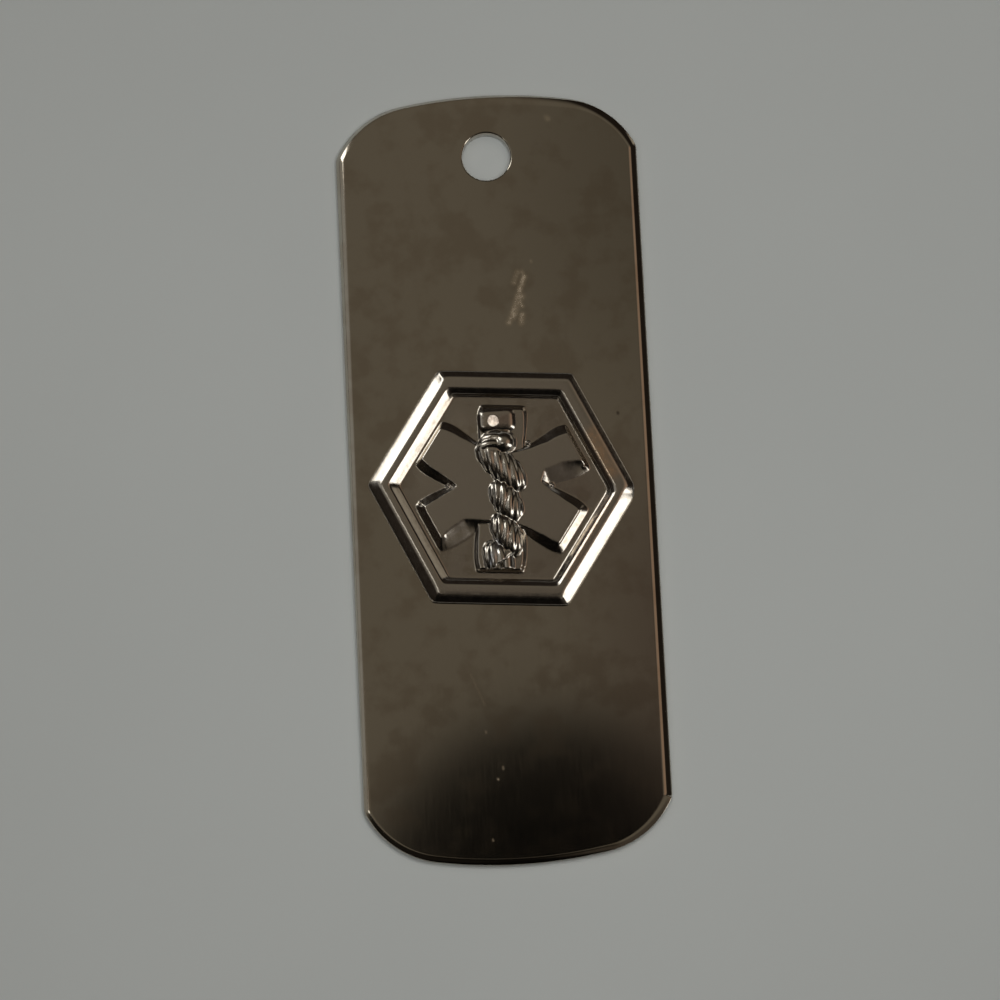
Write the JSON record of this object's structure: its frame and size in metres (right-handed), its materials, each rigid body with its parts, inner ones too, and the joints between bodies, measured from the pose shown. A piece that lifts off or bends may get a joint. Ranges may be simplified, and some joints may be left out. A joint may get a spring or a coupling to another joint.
{
  "type": "medical identification dog tag",
  "caption": "Flat steel identification tag with rounded ends, a chain hole and a raised six-sided badge showing a six-armed figure with a staff and serpent.",
  "frame": {"origin": "under the middle of the blank, on its flat back, at the bottom centre of the whole part's box", "axes": "+Z is the face's outward normal, +Y runs along the blank to the end with the chain hole, +X to the right as the face is read"},
  "size_m": [0.0198, 0.0508, 0.0019],
  "materials": {
    "plate_steel": "smooth rolled stainless sheet, faintly brushed along its length, with light handling scratches",
    "badge_steel": "die-struck stainless relief, polished bright on its slopes and dull in its field"
  },
  "bodies": {
    "root": {"tag_plate": "plate_steel", "emblem": "badge_steel"}
  },
  "joints": []
}
